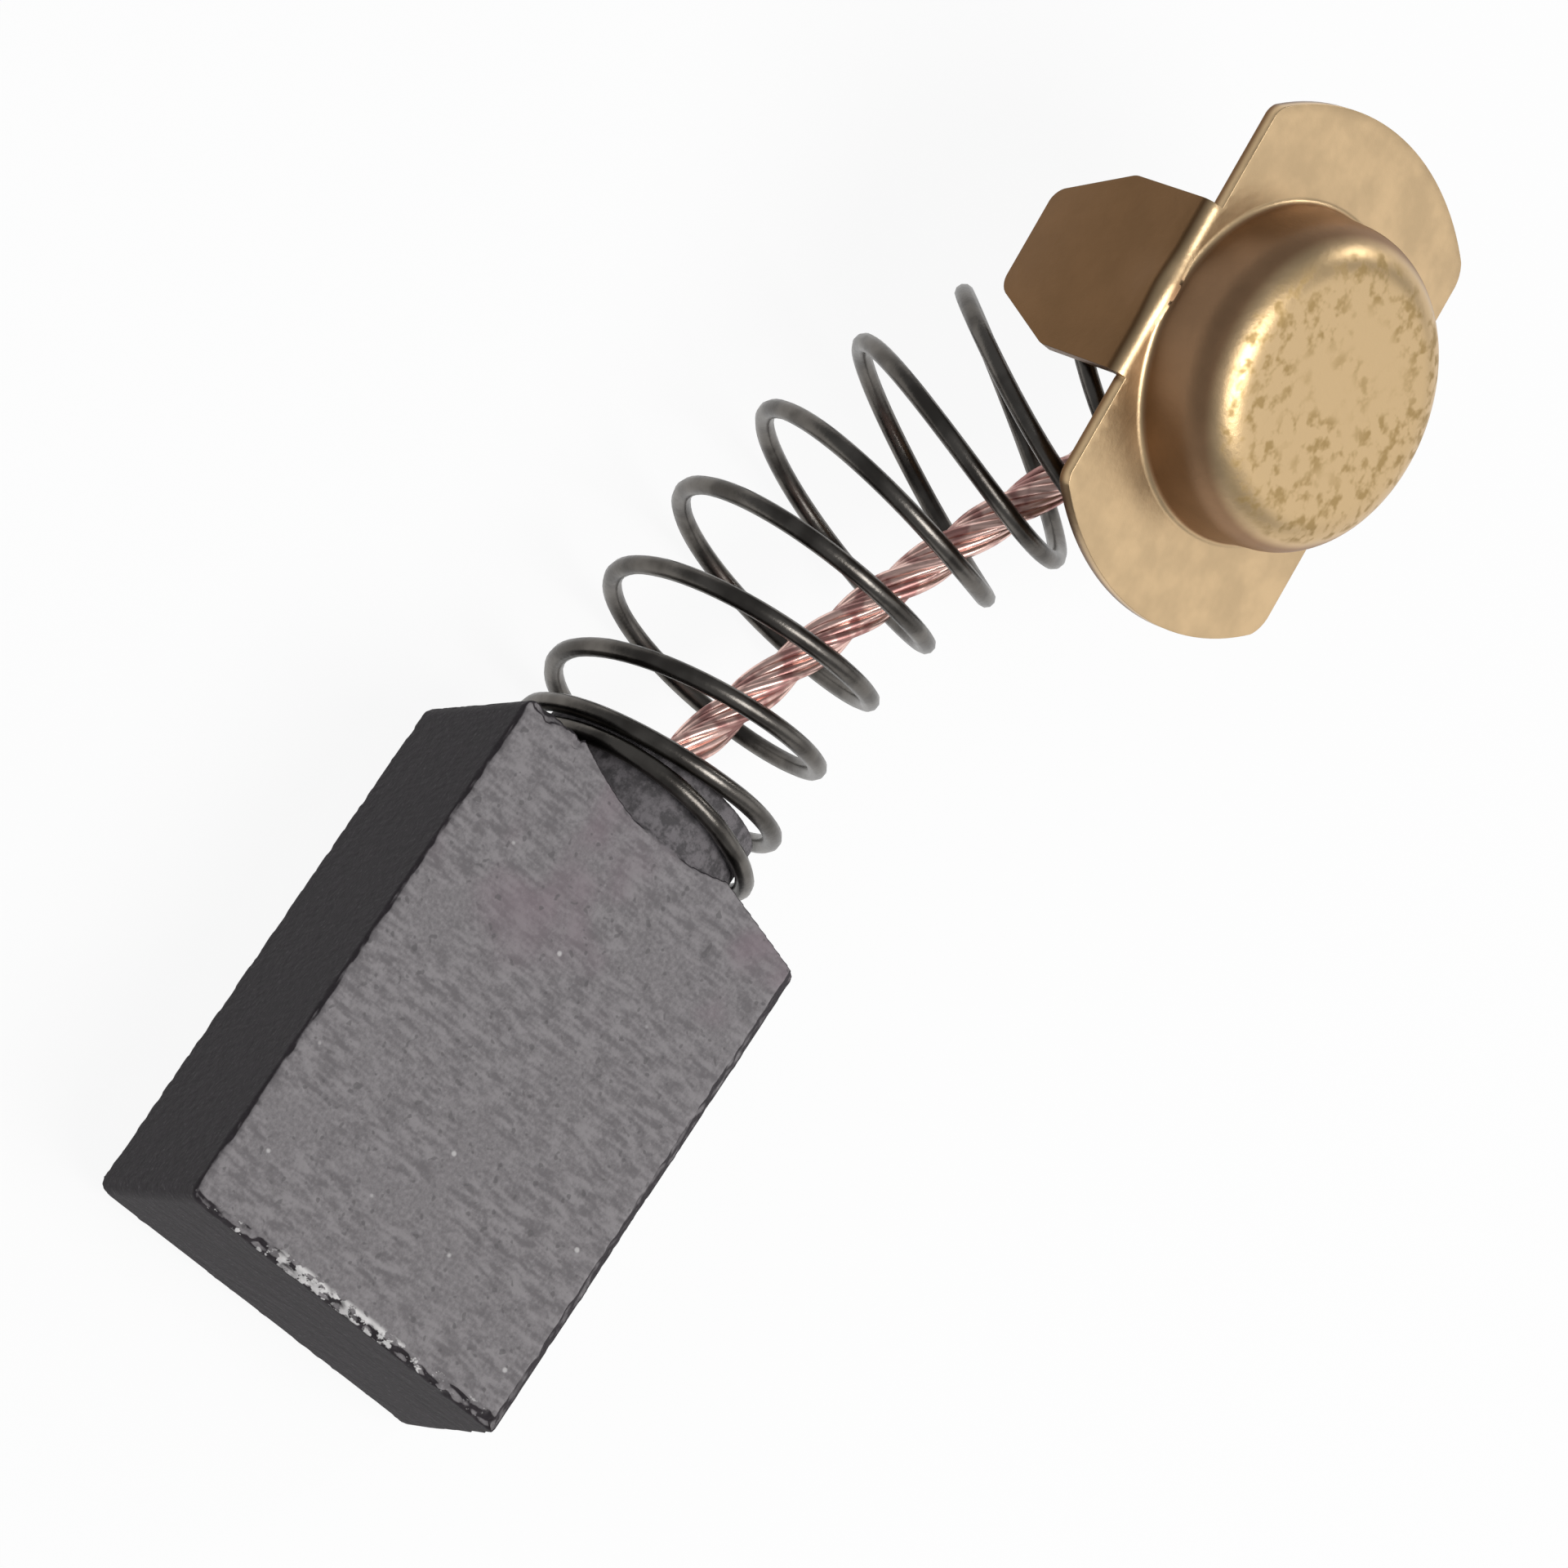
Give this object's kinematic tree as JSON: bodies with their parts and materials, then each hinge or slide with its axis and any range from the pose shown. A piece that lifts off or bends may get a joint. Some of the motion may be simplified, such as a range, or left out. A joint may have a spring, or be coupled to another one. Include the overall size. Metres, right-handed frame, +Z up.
{
  "type": "carbon brush",
  "caption": "Carbon motor brush with a coil spring and a copper pigtail that runs through it to a domed brass terminal cap with folded tabs.",
  "frame": {"origin": "centre of the contact face", "axes": "+X from the contact face to the spring, +Z up out of the large upper face of the block as it lies, +Y towards the block's side face that the picture shows dark"},
  "size_m": [0.0434, 0.0159, 0.0168],
  "materials": {
    "carbon": "sawn and ground, faintly scratched, matt",
    "compound": "pressed powder, matt",
    "copper": "bare twisted copper strands",
    "spring_steel": "drawn wire, dark and half bright",
    "brass": "stamped sheet, satin with faint tarnish",
    "solder": "dull solder"
  },
  "bodies": {
    "brush": {"carbon_block": "carbon", "tamping_compound": "compound", "copper_pigtail": "copper", "compression_spring": "spring_steel"},
    "cap": {"terminal_cap": "brass", "solder_joint": "solder"}
  },
  "joints": [
    {"name": "spring_compression", "type": "slide", "parent": "brush", "child": "cap", "axis": [-0.8859, 0.2407, -0.3965], "range_m": [0, 0.006], "stiffness_N_per_m": 210, "deforming": ["compression_spring", "copper_pigtail"]}
  ]
}
